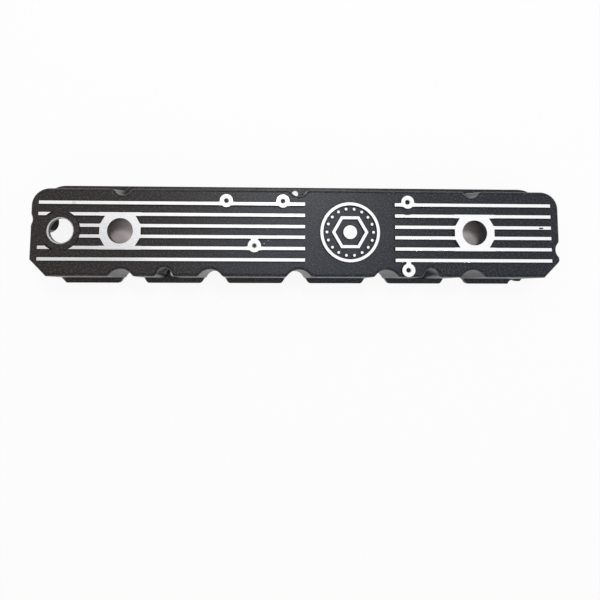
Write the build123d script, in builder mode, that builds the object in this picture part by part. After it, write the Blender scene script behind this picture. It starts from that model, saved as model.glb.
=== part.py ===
from build123d import *
import math
import os

# Cast-aluminium valve cover for an in-line six, in millimetres. X runs along the engine,
# Y points to the back of the cover, Z up from the gasket face. X = 0 is the middle head
# bolt and Y = 0 the middle of the flange.

# ---- engine layout ----
bore_pitch = 111.25
head_bolt_count = 5

# ---- flange ----
flange_thickness = 9.0
flange_end_reach = 130.5
flange_half_width = 66.9
flange_corner_cut = 39.4
flange_front_radius = 6.0
flange_back_radius = 34.0
flange_edge_round = 1.5
flange_setback = 0.4
flange_mouth_flare = 33.0
flange_mouth_round = 4.5
relief_length = 45.9
relief_depth = 3.7
relief_notch_radius = 7.3
relief_notch_depth = 5.4
relief_round = 1.5
cover_bolt_hole = 8.7

# ---- shell ----
ground_top = 78.0
wall = 5.0
roof = 6.0
end_ledge = 5.0
side_ledge = 6.9
side_draft = 4.5
end_draft = 11.5
corner_cut = 33.9
corner_draft = 3.1
back_radius_low = 27.0
back_radius_high = 21.5
front_radius = 20.0
top_round = 4.2
roof_round = 4.0

# ---- scallops over the head bolts, pockets over the cover bolts ----
scallop_radius = 13.5
scallop_outset = 3.4
scallop_draft = 3.6
scallop_mouth_round = 4.8
pocket_radius = 9.3
front_pocket_radius = 7.4
pocket_draft = 2.0
pocket_mouth_round = 5.0
end_mouth_round = 6.5
back_bolt_inset = 1.4
front_bolt_inset = 6.4
front_bolt_x = 168.5
left_bolt_inset = 3.7
left_bolt_from_back = 44.7
right_bolt_inset = 6.3
right_bolt_from_front = 40.6

# ---- fins ----
fins_middle = 1.6
fin_height = 4.0
fin_width = 4.5
fin_draft = 5.0
inner_fin = 6.65
fin_pitch = 14.15
fins_per_side = 3
fin_left_inset = 24.9
fin_right_inset = 26.7
panel_centre = 64.0
panel_half_length = 56.6

# ---- breather pads and their holes ----
breather_hole = 31.75
pad_half_length = 25.3
pad_flat_half = 7.3
pad_neck_half = 17.4

# ---- oil filler ----
filler_inset = 51.6
filler_hole = 30.5
filler_chamfer = 1.3
filler_land_diameter = 47.6
filler_land_height = 1.5
filler_clearing = 50.2

# ---- tapped bosses for the linkage and the cable bracket ----
tapped_boss = 16.4
tapped_hole = 5.3
tapped_depth = 16.0
tapped_floor = 4.0
tapped_chamfer = 0.8
linkage_x = -56.2
linkage_half_span = 35.5
linkage_back_y = 40.3
linkage_front_y = -15.8
linkage_web = 8.3
bracket_x = 137.5
bracket_back_y = 40.0
bracket_front_y = -45.7
bracket_neck = 5.8

# ---- round emblem ----
emblem_radius = 37.6
emblem_rim = 3.6
bead_circle = 29.4
bead_diameter = 3.4
bead_count = 18
hexagon_radius = 23.0
hexagon_bar = 4.2
hub_radius = 8.6

# ---- breather baffles and their screws ----
baffle_length = 92.0
baffle_width = 62.0
baffle_gauge = 1.5
baffle_drop = 28.0
baffle_lip = 9.0
baffle_bend = 3.0
post_span_x = 74.0
post_span_y = 44.0
post_diameter = 11.0
screw_diameter = 5.0
screw_length = 12.0
screw_head = 9.5
screw_head_height = 3.2
screw_socket = 3.0
screw_socket_depth = 1.9
screw_clearance = 0.25
thread_clearance = 0.1
screw_end_clearance = 2.0

# ---- places that follow from the sizes above ----
flange_half_length = (head_bolt_count - 1) / 2 * bore_pitch + flange_end_reach
wall_half_length = flange_half_length - end_ledge
wall_half_width = flange_half_width - side_ledge
fin_top = ground_top + fin_height
roof_under = ground_top - roof
post_face = roof_under - baffle_drop
sheet_under = post_face - baffle_gauge
second_fin = inner_fin + fin_pitch
outer_fin = inner_fin + (fins_per_side - 1) * fin_pitch
filler_x = filler_inset - wall_half_length
fin_left_end = fin_left_inset - wall_half_length
fin_right_end = wall_half_length - fin_right_inset
head_bolt_x = [(i - (head_bolt_count - 1) / 2) * bore_pitch for i in range(head_bolt_count)]
breather_places = [(-2 * bore_pitch, fins_middle), (2 * bore_pitch, fins_middle)]
scallop_y = -wall_half_width - scallop_outset
scallop_places = [(x, scallop_y) for x in head_bolt_x]
flange_scallop = scallop_radius + flange_setback
flare_start_x = flange_scallop * math.cos(math.radians(flange_mouth_flare))
flare_start_y = flange_scallop * math.sin(math.radians(flange_mouth_flare))
flare_drop = scallop_y + flare_start_y + flange_half_width
flare_run = flare_drop * math.tan(math.radians(flange_mouth_flare))
relief_notch_y = relief_notch_depth - relief_notch_radius - flange_half_width
to_right, to_back, to_left, to_front = (90 * quarter for quarter in range(4))
back_bolt_y = wall_half_width - back_bolt_inset
front_bolt_y = front_bolt_inset - wall_half_width
back_bolts = [(x, back_bolt_y, to_back) for x in (-2 * bore_pitch, 0, 2 * bore_pitch)]
front_bolts = [(x, front_bolt_y, to_front) for x in (-front_bolt_x, front_bolt_x)]
end_bolts = [
    (left_bolt_inset - wall_half_length, wall_half_width - left_bolt_from_back, to_left),
    (wall_half_length - right_bolt_inset, right_bolt_from_front - wall_half_width, to_right),
]
cover_bolts = back_bolts + front_bolts + end_bolts
wide_pockets = [(x, y, turn, pocket_radius) for x, y, turn in back_bolts + end_bolts]
narrow_pockets = [(x, y, turn, front_pocket_radius) for x, y, turn in front_bolts]
pockets = wide_pockets + narrow_pockets
tapped_places = [
    (linkage_x - linkage_half_span, linkage_back_y),
    (linkage_x + linkage_half_span, linkage_back_y),
    (linkage_x, linkage_front_y),
    (bracket_x, bracket_back_y),
    (bracket_x, bracket_front_y),
]
post_places = [
    (x + side_x * post_span_x / 2, y + side_y * post_span_y / 2)
    for x, y in breather_places
    for side_x in (-1, 1)
    for side_y in (-1, 1)
]
scallop_reach = 1.8 * scallop_radius
pocket_reach = 1.75 * pocket_radius
touch = 0.01
upwards = (Align.CENTER, Align.CENTER, Align.MIN)
downwards = (Align.CENTER, Align.CENTER, Align.MAX)


def slope(degrees):
    """Sideways run per millimetre of height for a draft angle."""
    return math.tan(math.radians(degrees))


def plan_outline(half_length, half_width, cut, front, back):
    """Long outline with round back corners and cut-off front corners."""
    with BuildSketch() as outline:
        Polygon(
            (-half_length, half_width),
            (-half_length, -half_width + cut),
            (-half_length + cut, -half_width),
            (half_length - cut, -half_width),
            (half_length, -half_width + cut),
            (half_length, half_width),
            align=None,
        )
        back_corners = outline.vertices().group_by(Axis.Y)[-1]
        front_corners = outline.vertices().filter_by_position(Axis.Y, -half_width, 0)
        fillet(back_corners, back)
        fillet(front_corners, front)
    return outline.sketch


def shell_outline(level, inset):
    """Outline of the drafted walls at one height, moved inwards by inset."""
    rise = level - flange_thickness
    half_length = wall_half_length - rise * slope(end_draft)
    half_width = wall_half_width - rise * slope(side_draft)
    corner_reach = wall_half_length + wall_half_width - corner_cut
    corner_reach -= rise * slope(corner_draft) * math.sqrt(2)
    cut = half_length + half_width - corner_reach - inset * (2 - math.sqrt(2))
    radius_loss = (back_radius_low - back_radius_high) * rise / (ground_top - flange_thickness)
    back_radius = back_radius_low - radius_loss - inset
    return plan_outline(half_length - inset, half_width - inset, cut, front_radius, back_radius)


def scallop_cone(height, extra):
    """Drafted cutter over a head bolt, larger all round by extra, seam to the front."""
    low = scallop_radius - flange_thickness * slope(scallop_draft) + extra
    high = low + height * slope(scallop_draft)
    return Rot(0, 0, -90) * Cone(low, high, height, align=upwards)


def pocket_cone(radius, level, height, extra, turn):
    """Drafted cutter over a cover bolt, larger all round by extra, seam turned away."""
    low = radius + (level - flange_thickness) * slope(pocket_draft) + extra
    high = low + height * slope(pocket_draft)
    return Rot(0, 0, turn) * Cone(low, high, height, align=upwards)


def mouth_edges(part, places, reach, bottom):
    """Edges that rise from bottom to the top of the shell, within reach of the places."""
    chosen = ShapeList()
    for edge in part.edges():
        box = edge.bounding_box()
        middle = edge.center()
        rises = box.size.Z > (ground_top - bottom) / 2
        within = box.min.Z > bottom - touch and box.max.Z < ground_top + touch
        near = any(math.hypot(middle.X - place[0], middle.Y - place[1]) < reach for place in places)
        if rises and within and near:
            chosen.append(edge)
    return chosen


# ---- flange, scalloped for the head bolts, notched and relieved at the right front ----
with BuildPart() as flange:
    with BuildSketch() as flange_plan:
        add(plan_outline(
            flange_half_length, flange_half_width,
            flange_corner_cut, flange_front_radius, flange_back_radius,
        ))
        with Locations((flange_half_length, -flange_half_width)):
            Rectangle(2 * relief_length, 2 * relief_depth, mode=Mode.SUBTRACT)
        with Locations((flange_half_length - relief_length, relief_notch_y)):
            Circle(relief_notch_radius, mode=Mode.SUBTRACT)
        with Locations(*scallop_places):
            Circle(flange_scallop, mode=Mode.SUBTRACT)
            Polygon(
                (flare_start_x, flare_start_y),
                (flare_start_x + flare_run, flare_start_y - flare_drop),
                (-flare_start_x - flare_run, flare_start_y - flare_drop),
                (-flare_start_x, flare_start_y),
                align=None, mode=Mode.SUBTRACT,
            )
        front_corners = flange_plan.vertices().group_by(Axis.Y)[0].sort_by(Axis.X)
        relief_line = relief_depth - flange_half_width
        relief_corners = flange_plan.vertices().filter_by_position(
            Axis.Y, relief_line - touch, relief_line + touch
        ).sort_by(Axis.X)
        fillet(front_corners[1:-1], flange_mouth_round)
        fillet([front_corners[-1]] + relief_corners[-2:], relief_round)
    extrude(amount=flange_thickness)
    fillet(flange.faces().sort_by(Axis.Z)[-1].outer_wire().edges(), flange_edge_round)

# ---- drafted shell with its scallops and pockets ----
with BuildPart() as shell:
    with BuildSketch():
        add(shell_outline(0, 0))
    with BuildSketch(Plane.XY.offset(ground_top)):
        add(shell_outline(ground_top, 0))
    loft(ruled=True)
    for x, y in scallop_places:
        add(Pos(x, y, 0) * scallop_cone(ground_top, 0), mode=Mode.SUBTRACT)
    for x, y, turn, radius in pockets:
        cutter = pocket_cone(radius, flange_thickness, ground_top - flange_thickness, 0, turn)
        add(Pos(x, y, flange_thickness) * cutter, mode=Mode.SUBTRACT)
    fillet(mouth_edges(shell.part, scallop_places, scallop_reach, 0), scallop_mouth_round)
    for bolts, mouth_round in (
        (back_bolts + front_bolts, pocket_mouth_round),
        (end_bolts, end_mouth_round),
    ):
        fillet(mouth_edges(shell.part, bolts, pocket_reach, flange_thickness), mouth_round)
    fillet(shell.faces().sort_by(Axis.Z)[-1].outer_wire().edges(), top_round)

# ---- rocker chamber: the space that the casting leaves open inside ----
with BuildPart() as chamber:
    with BuildSketch():
        add(shell_outline(flange_thickness, wall))
    extrude(amount=flange_thickness)
    with BuildSketch(Plane.XY.offset(flange_thickness)):
        add(shell_outline(flange_thickness, wall))
    with BuildSketch(Plane.XY.offset(roof_under)):
        add(shell_outline(roof_under, wall))
    loft(ruled=True)
    fillet(chamber.faces().sort_by(Axis.Z)[-1].outer_wire().edges(), roof_round)
    for x, y in scallop_places:
        add(Pos(x, y, 0) * scallop_cone(roof_under, wall), mode=Mode.SUBTRACT)
    for x, y, turn, radius in pockets:
        add(Pos(x, y, 0) * pocket_cone(radius, 0, roof_under, wall, turn), mode=Mode.SUBTRACT)
    with Locations(*[(x, y, roof_under) for x, y in tapped_places]):
        column = tapped_depth + tapped_floor - fin_height - roof
        Cylinder(tapped_boss / 2, column, align=downwards, mode=Mode.SUBTRACT)
    with Locations(*[(x, y, roof_under) for x, y in post_places]):
        Cylinder(post_diameter / 2, baffle_drop, align=downwards, mode=Mode.SUBTRACT)


def fin_runs():
    """Start, end and row of every straight fin. The innermost two begin at the filler."""
    runs = []
    for i in range(fins_per_side):
        left_end = filler_x if i == 0 else fin_left_end
        for side in (1, -1):
            y = fins_middle + side * (inner_fin + i * fin_pitch)
            runs.append((left_end, panel_centre - panel_half_length, y))
            runs.append((panel_centre + panel_half_length, fin_right_end, y))
    return runs


# ---- the whole casting ----
with BuildPart() as valve_cover:
    add(shell.part)
    add(flange.part)
    add(chamber.part, mode=Mode.SUBTRACT)

    # fins, cut back round the filler
    with BuildSketch(Plane.XY.offset(ground_top)):
        for start, end, y in fin_runs():
            with Locations(((start + end) / 2, y)):
                Rectangle(end - start, fin_width + 2 * fin_height * slope(fin_draft))
        with Locations((filler_x, fins_middle)):
            Circle(filler_clearing / 2, mode=Mode.SUBTRACT)
    extrude(amount=fin_height, taper=fin_draft)

    # breather pads joining the second to the fifth fin
    with BuildSketch(Plane.XY.offset(ground_top)):
        with Locations(*breather_places):
            Polygon(
                (pad_half_length, pad_flat_half),
                (pad_neck_half, second_fin),
                (-pad_neck_half, second_fin),
                (-pad_half_length, pad_flat_half),
                (-pad_half_length, -pad_flat_half),
                (-pad_neck_half, -second_fin),
                (pad_neck_half, -second_fin),
                (pad_half_length, -pad_flat_half),
                align=None,
            )
    extrude(amount=fin_height)

    # tapped bosses, with the web and the neck that tie two of them to their fins
    with BuildSketch(Plane.XY.offset(roof_under)):
        with Locations(*tapped_places):
            Circle(tapped_boss / 2)
        with Locations((linkage_x, linkage_front_y)):
            web_length = fins_middle - inner_fin - linkage_front_y
            Rectangle(linkage_web, web_length, align=(Align.CENTER, Align.MIN))
        with Locations((bracket_x, bracket_front_y)):
            neck_length = fins_middle - outer_fin - bracket_front_y
            Rectangle(bracket_neck, neck_length, align=(Align.CENTER, Align.MIN))
    extrude(amount=roof + fin_height)

    # round emblem: rim, ring of beads, and an open hexagon round a hub
    with BuildSketch(Plane.XY.offset(ground_top)):
        with Locations((panel_centre, fins_middle)):
            Circle(emblem_radius)
            Circle(emblem_radius - emblem_rim, mode=Mode.SUBTRACT)
            with PolarLocations(bead_circle, bead_count):
                Circle(bead_diameter / 2)
            RegularPolygon(hexagon_radius, 6)
            RegularPolygon(hexagon_radius - hexagon_bar, 6, mode=Mode.SUBTRACT)
            Circle(hub_radius)
    extrude(amount=fin_height)

    # filler land
    with BuildSketch(Plane.XY.offset(ground_top)):
        with Locations((filler_x, fins_middle)):
            Circle(filler_land_diameter / 2)
    extrude(amount=filler_land_height)

    # holes from above: filler, breathers and tapped holes
    with Locations((filler_x, fins_middle, ground_top + filler_land_height)):
        Cylinder(filler_hole / 2, roof + fin_height, align=downwards, mode=Mode.SUBTRACT)
    with Locations(*[(x, y, fin_top) for x, y in breather_places]):
        Cylinder(breather_hole / 2, roof + 2 * fin_height, align=downwards, mode=Mode.SUBTRACT)
    with Locations(*[(x, y, fin_top) for x, y in tapped_places]):
        Cylinder(tapped_hole / 2, tapped_depth, align=downwards, mode=Mode.SUBTRACT)
    round_edges = valve_cover.edges().filter_by(GeomType.CIRCLE)
    tapped_mouths = [
        edge for edge in round_edges
        if abs(edge.radius - tapped_hole / 2) < touch and edge.center().Z > fin_top - touch
    ]
    filler_mouth = [
        edge for edge in round_edges
        if abs(edge.radius - filler_hole / 2) < touch and edge.center().Z > ground_top
    ]
    chamfer(tapped_mouths, tapped_chamfer)
    chamfer(filler_mouth, filler_chamfer)

    # cover-bolt holes through the flange, screw holes up into the baffle posts
    with Locations(*[(x, y, 0) for x, y, turn in cover_bolts]):
        Cylinder(cover_bolt_hole / 2, flange_thickness, align=upwards, mode=Mode.SUBTRACT)
    with Locations(*[(x, y, post_face) for x, y in post_places]):
        Cylinder(
            screw_diameter / 2 + thread_clearance,
            screw_length - baffle_gauge + screw_end_clearance,
            align=upwards, mode=Mode.SUBTRACT,
        )

valve_cover.part.label = "valve_cover"


def baffle_plate(breather):
    """Folded sheet under a breather hole, screwed to four posts and open at both ends."""
    x, y = breather
    with BuildSketch() as hollow:
        with Locations((y, sheet_under)):
            Rectangle(baffle_width - 2 * baffle_gauge, baffle_lip, align=(Align.CENTER, Align.MAX))
        fillet(hollow.vertices().group_by(Axis.Y)[-1], baffle_bend - baffle_gauge)
    with BuildPart() as plate:
        with BuildSketch(Plane.YZ.offset(x)) as section:
            with Locations((y, post_face)):
                Rectangle(baffle_width, baffle_lip, align=(Align.CENTER, Align.MAX))
            fillet(section.vertices().group_by(Axis.Y)[-1], baffle_bend)
            add(hollow.sketch, mode=Mode.SUBTRACT)
        extrude(amount=baffle_length / 2, both=True)
        with Locations(*[(post_x, post_y, post_face) for post_x, post_y in post_places]):
            Cylinder(
                screw_diameter / 2 + screw_clearance, baffle_gauge,
                align=downwards, mode=Mode.SUBTRACT,
            )
    return plate


# ---- one baffle under each breather hole ----
left_baffle, right_baffle = [baffle_plate(breather) for breather in breather_places]
left_baffle.part.label = "left_baffle"
right_baffle.part.label = "right_baffle"

# ---- baffle screws: heads under the sheet, shanks up into the posts ----
with BuildPart() as baffle_screws:
    with Locations(*[(x, y, sheet_under) for x, y in post_places]):
        Cylinder(screw_head / 2, screw_head_height, align=downwards)
        Cylinder(screw_diameter / 2, screw_length, align=upwards)
    with BuildSketch(Plane.XY.offset(sheet_under - screw_head_height)):
        with Locations(*post_places):
            RegularPolygon(screw_socket / math.sqrt(3), 6)
    extrude(amount=screw_socket_depth, mode=Mode.SUBTRACT)
baffle_screws.part.label = "baffle_screws"

os.makedirs("parts", exist_ok=True)
export_step(valve_cover.part, "parts/valve_cover.step")
export_step(left_baffle.part, "parts/left_baffle.step")
export_step(right_baffle.part, "parts/right_baffle.step")
export_step(baffle_screws.part, "parts/baffle_screws.step")
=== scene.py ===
import bpy
import numpy as np
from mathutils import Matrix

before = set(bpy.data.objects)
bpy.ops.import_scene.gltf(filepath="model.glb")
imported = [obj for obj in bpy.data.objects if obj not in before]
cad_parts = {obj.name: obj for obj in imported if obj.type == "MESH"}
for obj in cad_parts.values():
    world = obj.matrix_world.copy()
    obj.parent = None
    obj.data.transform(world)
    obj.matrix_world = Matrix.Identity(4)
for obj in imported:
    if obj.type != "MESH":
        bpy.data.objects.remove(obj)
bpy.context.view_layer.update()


# The cover is one sand-cast aluminium shell. It is powder coated black all over with a
# fine texture, and then the tops of the fins, pads, emblem and tapped bosses, the
# filler's mouth and the gasket face are machined back to bare metal.
def put(tree, kind, inputs=(), **settings):
    """A node with its settings, and each input set to a value or linked from a socket."""
    made = tree.nodes.new(kind)
    for name, value in settings.items():
        setattr(made, name, value)
    for name, value in dict(inputs).items():
        if isinstance(value, bpy.types.NodeSocket):
            tree.links.new(value, made.inputs[name])
        else:
            made.inputs[name].default_value = value
    return made


def work(tree, operation, *values):
    """The result of one Math operation on one to three values or sockets."""
    return put(tree, "ShaderNodeMath", enumerate(values), operation=operation).outputs[0]


def vector(tree, operation, first, second=(0, 0, 0), output="Vector"):
    """The Vector or the Value that one Vector Math operation gives for two vectors."""
    inputs = {0: first, 1: second}
    return put(tree, "ShaderNodeVectorMath", inputs, operation=operation).outputs[output]


def ramp(tree, value, start, end):
    """0 before start and 1 past end, with a smooth step between, rising or falling."""
    limits = {"Value": value, "From Min": start, "From Max": end}
    return put(tree, "ShaderNodeMapRange", limits, interpolation_type="SMOOTHSTEP").outputs[0]


def between(tree, amount, low, high):
    """low where amount is 0, high where it is 1, and a straight line between."""
    limits = {"Value": amount, "To Min": low, "To Max": high}
    return put(tree, "ShaderNodeMapRange", limits).outputs[0]


def noise(tree, place, scale, detail=2.0):
    """Smooth noise from 0 to 1 with scale bumps to the metre."""
    inputs = {"Vector": place, "Scale": scale, "Detail": detail}
    return put(tree, "ShaderNodeTexNoise", inputs).outputs["Fac"]


def effect(name, inputs, outputs):
    """An empty node group with those named sockets, and its input and output nodes."""
    group = bpy.data.node_groups.new(name, "ShaderNodeTree")
    for socket, kind in inputs:
        group.interface.new_socket(name=socket, in_out="INPUT", socket_type=kind)
    for socket, kind in outputs:
        group.interface.new_socket(name=socket, in_out="OUTPUT", socket_type=kind)
    return group, group.nodes.new("NodeGroupInput"), group.nodes.new("NodeGroupOutput")


# tool marks on bare metal: noise drawn out along one direction, with a height and a tone
FLOAT, VECTOR = "NodeSocketFloat", "NodeSocketVector"
tool_marks, marks_in, marks_out = effect(
    "tool_marks",
    [("Vector", VECTOR), ("Stretch", VECTOR)],
    [("Height", FLOAT), ("Tone", FLOAT)],
)
drawn_out = vector(tool_marks, "MULTIPLY", marks_in.outputs["Vector"], marks_in.outputs["Stretch"])
scratches = noise(tool_marks, drawn_out, 1.0, 3.0)
tool_marks.links.new(scratches, marks_out.inputs["Height"])
tool_marks.links.new(ramp(tool_marks, scratches, 0.35, 0.65), marks_out.inputs["Tone"])


def marked(tree, place, stretch):
    """The outputs of tool_marks, with stretch bumps to the metre along X, Y and Z."""
    inputs = {"Vector": place, "Stretch": stretch}
    return put(tree, "ShaderNodeGroup", inputs, node_tree=tool_marks).outputs


def new_material(name):
    """A material with its tree, its shader, its Object coordinates and their X, Y and Z."""
    made = bpy.data.materials.new(name)
    made.use_nodes = True
    tree = made.node_tree
    place = tree.nodes.new("ShaderNodeTexCoord").outputs["Object"]
    axes = put(tree, "ShaderNodeSeparateXYZ", {0: place}).outputs
    return made, tree, tree.nodes["Principled BSDF"], place, axes


def both(tree, first, *others):
    """1 where every mask is 1 and 0 where any is 0: their product."""
    for other in others:
        first = work(tree, "MULTIPLY", first, other)
    return first


def either(tree, first, *others):
    """1 where any mask is 1 and 0 where all are 0: the largest of them."""
    for other in others:
        first = work(tree, "MAXIMUM", first, other)
    return first


def apart(tree, place, centre):
    """Distance from a centre in plan, in metres: the length of place less centre at z = 0."""
    flat = vector(tree, "MULTIPLY", place, (1, 1, 0))
    return vector(tree, "DISTANCE", flat, (*centre, 0), "Value")


def disc(tree, place, centre, outside, inside):
    """1 within inside metres of a centre in plan, and 0 past outside metres."""
    return ramp(tree, apart(tree, place, centre), outside, inside)


coat, tree, shader, place, axes = new_material("black_coat_and_machined_faces")
across, height = axes["Y"], axes["Z"]

# bare metal: all that faces up at the level of the fins' tops, but for chips at the edges
ground, fin_top = 0.0780, 0.0820
deep_chip, shallow_chip = 0.00035, 0.00005
chip = noise(tree, place, 900.0)
cut_level = between(tree, chip, fin_top - deep_chip, fin_top - shallow_chip)
normal = tree.nodes.new("ShaderNodeTexCoord").outputs["Normal"]
upright = put(tree, "ShaderNodeSeparateXYZ", {0: normal}).outputs["Z"]
tops = both(tree, work(tree, "GREATER_THAN", height, cut_level), ramp(tree, upright, 0.3, 0.5))

# bare metal too: the filler's bore and its chamfer, and the gasket face
middle_y = 0.0016
filler = (-0.2964, middle_y)
bored = disc(tree, place, filler, 0.0167, 0.0166)
filler_mouth = both(tree, bored, ramp(tree, height, ground, ground + 0.0002))
gasket_face = ramp(tree, height, 0.0002, 0.0001)

# the tapped holes, with each place inside one taken from that hole's own middle
tapped_floor = 0.0655
linkage_holes = ((-0.0917, 0.0403), (-0.0207, 0.0403), (-0.0562, -0.0158))
bracket_holes = ((0.1375, 0.0400), (0.1375, -0.0457))
tapped = 0.0
boss = 0.0
in_hole = (0.0, 0.0, 0.0)
for x, y in linkage_holes + bracket_holes:
    near = disc(tree, place, (x, y), 0.0036, 0.0035)
    tapped = work(tree, "ADD", tapped, near)
    boss = either(tree, boss, disc(tree, place, (x, y), 0.0107, 0.0105))
    from_hole = vector(tree, "SUBTRACT", place, (x, y, 0))
    in_hole = vector(tree, "ADD", vector(tree, "MULTIPLY", from_hole, near), in_hole)
tapped = both(tree, tapped, ramp(tree, height, tapped_floor, tapped_floor + 0.0002))

# the coat that a nick and the cutter round the bracket's boss have left on two fins
from_nick = vector(tree, "SUBTRACT", place, (0.3083, 0.0078, 0))
nick_radii = vector(tree, "MULTIPLY", from_nick, (340.0, 950.0, 0.0))
nick = ramp(tree, vector(tree, "LENGTH", nick_radii, output="Value"), 1.15, 0.85)
cutter = disc(tree, place, (0.1368, 0.0400), 0.0164, 0.0162)
relief = both(tree, cutter, ramp(tree, across, 0.0275, 0.0270))

# a hair of coat is also left along both edges of each fin, but not round pads and bosses
inner_fin, fin_pitch = 0.00665, 0.01415
from_middle = work(tree, "ABSOLUTE", work(tree, "SUBTRACT", across, middle_y))
from_fin = work(tree, "PINGPONG", work(tree, "SUBTRACT", from_middle, inner_fin), fin_pitch / 2)
ragged = work(tree, "ADD", from_fin, work(tree, "MULTIPLY", chip, 0.0001))
fin_edge = ramp(tree, ragged, 0.00206, 0.00212)
breather_x = 0.2225
from_breather = work(tree, "SUBTRACT", work(tree, "ABSOLUTE", axes["X"]), breather_x)
from_breather = work(tree, "ABSOLUTE", from_breather)
along_pad = ramp(tree, from_breather, 0.0258, 0.0256)
across_pad = ramp(tree, from_middle, 0.0300, 0.0295)
emblem = disc(tree, place, (0.0640, middle_y), 0.0400, 0.0395)
not_fin = either(tree, both(tree, along_pad, across_pad), emblem, boss)
fin_edge = both(tree, fin_edge, work(tree, "SUBTRACT", 1.0, not_fin))
coat_left = either(tree, nick, relief, fin_edge)
tops = both(tree, tops, work(tree, "SUBTRACT", 1.0, coat_left))
bare = either(tree, tops, filler_mouth, tapped, gasket_face)


def tint(tree, amount, first, second):
    """The first colour where amount is 0 and the second where it is 1."""
    inputs = {0: amount, 6: first, 7: second}
    return put(tree, "ShaderNodeMix", inputs, data_type="RGBA", blend_type="MIX").outputs[2]


# the coat: a fine pebbled film over a slow ripple, brown towards the left end and blue towards the
# right as painted warm and cool light, with the boundary shifted about in random patches
pebble = noise(tree, place, 1250.0, 1.5)
ripple = noise(tree, place, 500.0, 3.0)
patches = between(tree, noise(tree, place, 9.0), -0.25, 0.25)
warm_to_cool_painted_light = ramp(tree, work(tree, "ADD", axes["X"], patches), -0.30, 0.12)
film = tint(tree, warm_to_cool_painted_light, (0.0110, 0.0050, 0.0022, 1), (0.0018, 0.0042, 0.0115, 1))

# a painted highlight, pale and bluish, lies over the middle of the ground, and paler grains stand out
# all over
on_ground = ramp(tree, height, ground - 0.0005, ground)
squeezed = vector(tree, "MULTIPLY", place, (0.55, 1.0, 0.0))
painted_highlight = both(tree, disc(tree, squeezed, (0.006, -0.012), 0.105, 0.015), on_ground)
film = tint(tree, painted_highlight, film, (0.015, 0.021, 0.033, 1))
film = tint(tree, ramp(tree, ripple, 0.47, 0.68), film, (0.046, 0.046, 0.051, 1))

# three flecks of dust and a dark dot lie on the ground between the fins
dusty = ramp(tree, height, ground - 0.0005, ground - 0.0002)
dust = 0.0
for x, y, radius in ((-0.0440, -0.0132, 0.0006), (-0.0389, -0.0093, 0.0004), (-0.0398, 0.0045, 0.0004)):
    dust = work(tree, "ADD", dust, disc(tree, place, (x, y), radius * 1.3, radius * 0.7))
dark_dot = disc(tree, place, (0.1484, -0.0250), 0.0010, 0.0005)
film = tint(tree, both(tree, dust, dusty), film, (0.60, 0.60, 0.62, 1))
film = tint(tree, both(tree, dark_dot, dusty), film, (0.008, 0.008, 0.009, 1))

# inside, the hollow post beside the filler is painted near black as painted shade, and its coat is
# duller
end_bolt = (-0.3443, 0.0153)
post = both(
    tree, disc(tree, place, end_bolt, 0.0185, 0.0180),
    ramp(tree, axes["X"], -0.3347, -0.3345), ramp(tree, height, 0.0722, 0.0720),
)
film = tint(tree, post, film, (0.004, 0.004, 0.005, 1))

# the bare metal: marks along the fins, a smear on one, and darker metal below the mouth of each tapped
# hole
milled = marked(tree, place, (70.0, 2600.0, 900.0))
smear = disc(tree, place, (-0.2800, 0.0357), 0.0040, 0.0010)
metal = tint(tree, milled["Tone"], (0.76, 0.76, 0.775, 1), (0.84, 0.84, 0.85, 1))
metal = tint(tree, smear, metal, (0.62, 0.62, 0.64, 1))
down_hole = both(tree, tapped, ramp(tree, height, 0.0814, 0.0811))
metal = tint(tree, down_hole, metal, (0.24, 0.23, 0.22, 1))

# a fly cutter swung from far in front leaves its arcs over the gasket face
arcs_to_metre = 900.0
swing = work(tree, "MULTIPLY", apart(tree, place, (0.0, -0.42)), arcs_to_metre)
arcs = both(tree, work(tree, "PINGPONG", swing, 0.5), gasket_face)

# threads in the tapped holes: a triangle wave in height less the turn round the hole
thread_pitch = 0.00127
hole_axes = put(tree, "ShaderNodeSeparateXYZ", {0: in_hole}).outputs
turns = work(tree, "DIVIDE", work(tree, "ARCTAN2", hole_axes["Y"], hole_axes["X"]), 2 * np.pi)
winding = work(tree, "SUBTRACT", work(tree, "DIVIDE", height, thread_pitch), turns)
threaded = both(tree, tapped, ramp(tree, height, 0.0812, 0.0810))
thread = both(tree, work(tree, "PINGPONG", winding, 0.5), threaded)


def heights(tree, *layers):
    """The sum of some patterns, each times its own height in millimetres."""
    total = 0.0
    for pattern, millimetres in layers:
        total = work(tree, "ADD", total, work(tree, "MULTIPLY", pattern, millimetres))
    return total


millimetre = 0.001
coat_height = heights(tree, (pebble, 0.16), (ripple, 0.20))
metal_height = heights(tree, (milled["Height"], 0.005), (arcs, 0.03), (thread, 0.9))
surface = between(tree, bare, coat_height, metal_height)
bump = put(tree, "ShaderNodeBump", {"Height": surface, "Distance": millimetre})
dull_post = work(tree, "MULTIPLY", post, 0.95)
dull_mouth = work(tree, "MULTIPLY", filler_mouth, 0.55)
coat_rough = either(tree, between(tree, pebble, 0.28, 0.42), dull_post)
metal_rough = either(tree, between(tree, milled["Tone"], 0.15, 0.24), dull_mouth)
tree.links.new(tint(tree, bare, film, metal), shader.inputs["Base Color"])
tree.links.new(bare, shader.inputs["Metallic"])
tree.links.new(between(tree, bare, coat_rough, metal_rough), shader.inputs["Roughness"])
tree.links.new(bump.outputs[0], shader.inputs["Normal"])
shader.inputs["Specular IOR Level"].default_value = 0.33


def dress(name, material):
    """Gives every material slot of a CAD node that material."""
    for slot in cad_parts[name].material_slots:
        slot.material = material


dress("valve_cover", coat)

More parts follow.
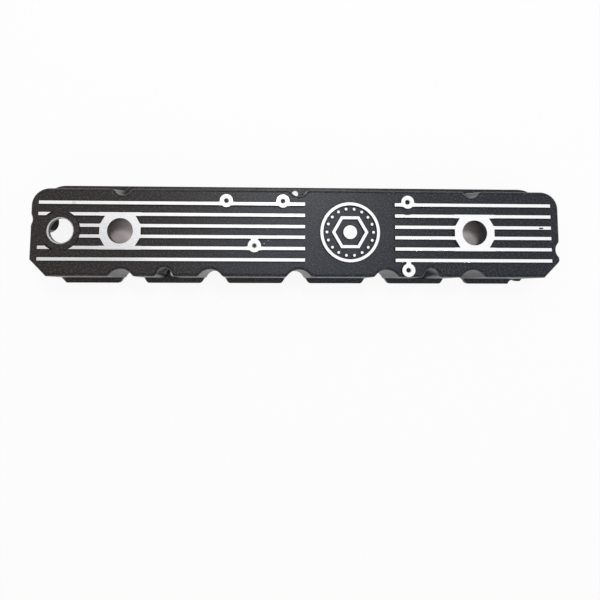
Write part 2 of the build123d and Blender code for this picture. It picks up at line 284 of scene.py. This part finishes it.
# Two baffles hang under the breather holes to keep splashed oil out. Each is bare rolled
# aluminium sheet, folded down along both sides and screwed to four posts of the casting.
sheet, tree, shader, place, _ = new_material("rolled_sheet")
rolled = marked(tree, place, (60.0, 1900.0, 1900.0))
oily = noise(tree, place, 45.0, 3.0)
metal = tint(tree, rolled["Tone"], (0.66, 0.62, 0.615, 1), (0.74, 0.69, 0.685, 1))
metal = tint(tree, ramp(tree, oily, 0.45, 0.70), metal, (0.60, 0.54, 0.52, 1))
rolled_depth = 0.00002
bump = put(tree, "ShaderNodeBump", {"Height": rolled["Height"], "Distance": rolled_depth})
tree.links.new(metal, shader.inputs["Base Color"])
tree.links.new(between(tree, oily, 0.44, 0.62), shader.inputs["Roughness"])
tree.links.new(bump.outputs[0], shader.inputs["Normal"])
shader.inputs["Metallic"].default_value = 0.6
dress("left_baffle", sheet)
dress("right_baffle", sheet)

# Eight socket screws hold the baffles. They are zinc-plated steel, turned, so fine rings
# run round each head, and the plating is faintly yellow and blue.
zinc, tree, shader, place, axes = new_material("zinc_plate")


def folded(tree, value, middle, half_span):
    """Distance along one axis from the nearer of two places, half_span each side of middle."""
    from_middle = work(tree, "ABSOLUTE", work(tree, "SUBTRACT", value, middle))
    return work(tree, "SUBTRACT", from_middle, half_span)


screw_half_x, screw_half_y = 0.037, 0.022
from_screw_x = folded(tree, work(tree, "ABSOLUTE", axes["X"]), breather_x, screw_half_x)
from_screw_y = folded(tree, axes["Y"], middle_y, screw_half_y)
square_x = work(tree, "MULTIPLY", from_screw_x, from_screw_x)
square_y = work(tree, "MULTIPLY", from_screw_y, from_screw_y)
from_screw = work(tree, "SQRT", work(tree, "ADD", square_x, square_y))
rings_to_metre = 3300.0
rings = work(tree, "PINGPONG", work(tree, "MULTIPLY", from_screw, rings_to_metre), 0.5)
plating = noise(tree, place, 160.0)
worn = marked(tree, place, (900.0, 900.0, 900.0))
metal = tint(tree, ramp(tree, plating, 0.35, 0.65), (0.56, 0.58, 0.62, 1), (0.64, 0.61, 0.52, 1))
metal = tint(tree, work(tree, "MULTIPLY", worn["Tone"], 0.3), metal, (0.40, 0.40, 0.41, 1))
ring_depth = 0.00004
bump = put(tree, "ShaderNodeBump", {"Height": rings, "Distance": ring_depth})
tree.links.new(metal, shader.inputs["Base Color"])
tree.links.new(between(tree, plating, 0.24, 0.40), shader.inputs["Roughness"])
tree.links.new(bump.outputs[0], shader.inputs["Normal"])
shader.inputs["Metallic"].default_value = 1.0
dress("baffle_screws", zinc)

# The floor is a wide sheet of white paper just under the gasket face. It keeps a soft
# shadow of the cover, and it is clear from below, so that the inside can be seen.
reach, floor_level = 6.0, -0.0003
corner_x, corner_y = np.meshgrid([-reach, reach], [-reach, reach])
corners = np.stack([corner_x, corner_y, np.full_like(corner_x, floor_level)], axis=-1)
floor_mesh = bpy.data.meshes.new("floor")
floor_mesh.from_pydata(corners.reshape(-1, 3).tolist(), [], [(0, 1, 3, 2)])
floor = bpy.data.objects.new("floor", floor_mesh)
bpy.context.scene.collection.objects.link(floor)

paper, tree, shader, place, _ = new_material("white_paper")
fibre = noise(tree, place, 700.0, 3.0)
pulp = tint(tree, fibre, (0.86, 0.86, 0.86, 1), (0.90, 0.90, 0.90, 1))
tree.links.new(pulp, shader.inputs["Base Color"])
shader.inputs["Roughness"].default_value = 0.9

# its own white shows to the camera and in shiny things, and lights nothing
glow_share = 0.90
rays = tree.nodes.new("ShaderNodeLightPath").outputs
seen = either(tree, rays["Is Camera Ray"], rays["Is Glossy Ray"], rays["Is Transmission Ray"])
glow = put(tree, "ShaderNodeEmission", {"Color": (1, 1, 1, 1), "Strength": 1.0})
glowing = {0: work(tree, "MULTIPLY", seen, glow_share), 1: shader.outputs[0], 2: glow.outputs[0]}
above = put(tree, "ShaderNodeMixShader", glowing)
from_below = tree.nodes.new("ShaderNodeNewGeometry").outputs["Backfacing"]
clear = tree.nodes.new("ShaderNodeBsdfTransparent")
sides = {0: from_below, 1: above.outputs[0], 2: clear.outputs[0]}
two_sided = put(tree, "ShaderNodeMixShader", sides)
tree.links.new(two_sided.outputs[0], tree.nodes["Material Output"].inputs["Surface"])
floor_mesh.materials.append(paper)

# The room is pale, with a bright ceiling and walls and a dimmer band between them. A wide
# softbox hangs over the cover, a back strip past its left end, and a small lamp behind it.
room = bpy.data.worlds.new("room")
room.use_nodes = True
bpy.context.scene.world = room
tree = room.node_tree
direction = tree.nodes.new("ShaderNodeTexCoord").outputs["Generated"]
upwards = put(tree, "ShaderNodeSeparateXYZ", {0: direction}).outputs["Z"]
band_light, ceiling_light, wall_light = 0.42, 0.80, 0.86
ceiling = between(tree, ramp(tree, upwards, 0.64, 0.88), band_light, ceiling_light)
walls = between(tree, ramp(tree, upwards, 0.42, 0.24), band_light, wall_light)
tree.links.new(either(tree, ceiling, walls), tree.nodes["Background"].inputs["Strength"])
tree.nodes["Background"].inputs["Color"].default_value = (1, 1, 1, 1)

for name, centre, size, watts in (
    ("softbox", (0.54, 0.125, 1.40), (2.12, 0.95), 2.65),
    ("back_strip", (-0.95, 0.360, 1.40), (0.86, 0.50), 0.57),
    ("lamp", (0.06, 0.450, 1.30), (0.25, 0.20), 5.5),
):
    light = bpy.data.lights.new(name, "AREA")
    light.shape = "RECTANGLE"
    light.size, light.size_y = size
    light.energy = watts
    light_object = bpy.data.objects.new(name, light)
    light_object.location = centre
    bpy.context.scene.collection.objects.link(light_object)

# The camera looks almost straight down from 0.7 m, a little to the left of the cover's
# middle and in front of it, with its lens shifted so that the cover lies high in the frame.
focal_in_widths = 490.1 / 600
lens = bpy.data.cameras.new("camera")
lens.sensor_width = 36.0
lens.lens = focal_in_widths * lens.sensor_width
lens.shift_x, lens.shift_y = 0.0395, -0.1495
camera = bpy.data.objects.new("camera", lens)
camera.location = (-0.0486, -0.0229, 0.6943)
camera.rotation_euler = (0.0835, -0.0323, 0.0047)
bpy.context.scene.collection.objects.link(camera)
bpy.context.scene.camera = camera
bpy.context.scene.view_settings.view_transform = "Standard"
